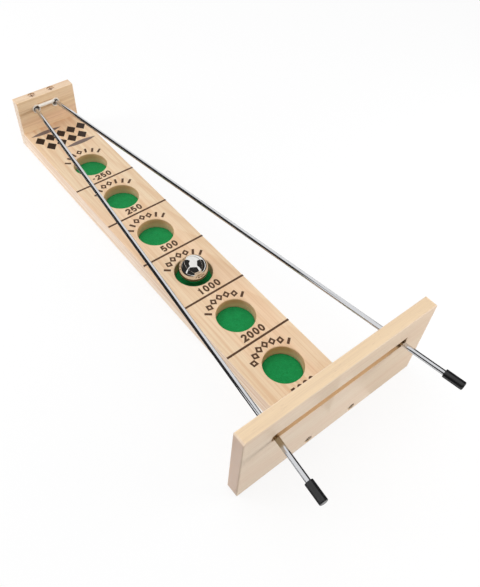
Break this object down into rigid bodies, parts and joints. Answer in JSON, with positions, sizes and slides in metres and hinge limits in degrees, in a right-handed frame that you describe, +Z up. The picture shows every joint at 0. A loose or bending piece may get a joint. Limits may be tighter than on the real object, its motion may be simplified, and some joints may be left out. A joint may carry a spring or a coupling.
{
  "type": "rolling ball game",
  "caption": "Wooden tabletop game: a steel ball rolls on two pivoted metal rods above a board with felt-lined scoring holes; spreading the rods draws it along and drops it.",
  "frame": {"origin": "middle of the base board's underside, on the table", "axes": "+X across the board to the player's right, +Y along the board away from the player, +Z up"},
  "size_m": [0.177, 0.4883, 0.0815],
  "materials": {
    "base_wood": "clear satin varnish",
    "upright_wood": "clear satin varnish",
    "bright_steel": "polished, plated",
    "ball_steel": "mirror polished",
    "screw_steel": "dull zinc",
    "grip_rubber": "smooth soft black",
    "green_felt": "short felt nap"
  },
  "bodies": {
    "board": {"base_board": "base_wood", "head_block": "upright_wood", "front_board": "upright_wood", "pivot_strap": "bright_steel", "pivot_screw_left": "screw_steel", "pivot_screw_right": "screw_steel", "front_board_screws": "screw_steel", "head_block_screws": "screw_steel", "felt_disc_1": "green_felt", "felt_disc_2": "green_felt", "felt_disc_3": "green_felt", "felt_disc_4": "green_felt", "felt_disc_5": "green_felt", "felt_disc_6": "green_felt"},
    "left_rod": {"rod_left": "bright_steel", "grip_left": "grip_rubber"},
    "right_rod": {"rod_right": "bright_steel", "grip_right": "grip_rubber"},
    "loose_ball": {"ball": "ball_steel"}
  },
  "joints": [
    {"name": "left_rod_swing", "type": "hinge", "parent": "board", "child": "left_rod", "pos_m": [-0.0125, 0.2146, 0.0423], "axis": [0, 0, 1], "range_deg": [0, 7.1]},
    {"name": "right_rod_swing", "type": "hinge", "parent": "board", "child": "right_rod", "pos_m": [0.0089, 0.2146, 0.0423], "axis": [0, 0, 1], "range_deg": [-7.6, 0]},
    {"name": "ball_lift", "type": "slide", "parent": "board", "child": "loose_ball", "axis": [0, 0, 1], "range_m": [0, 0.016]}
  ]
}
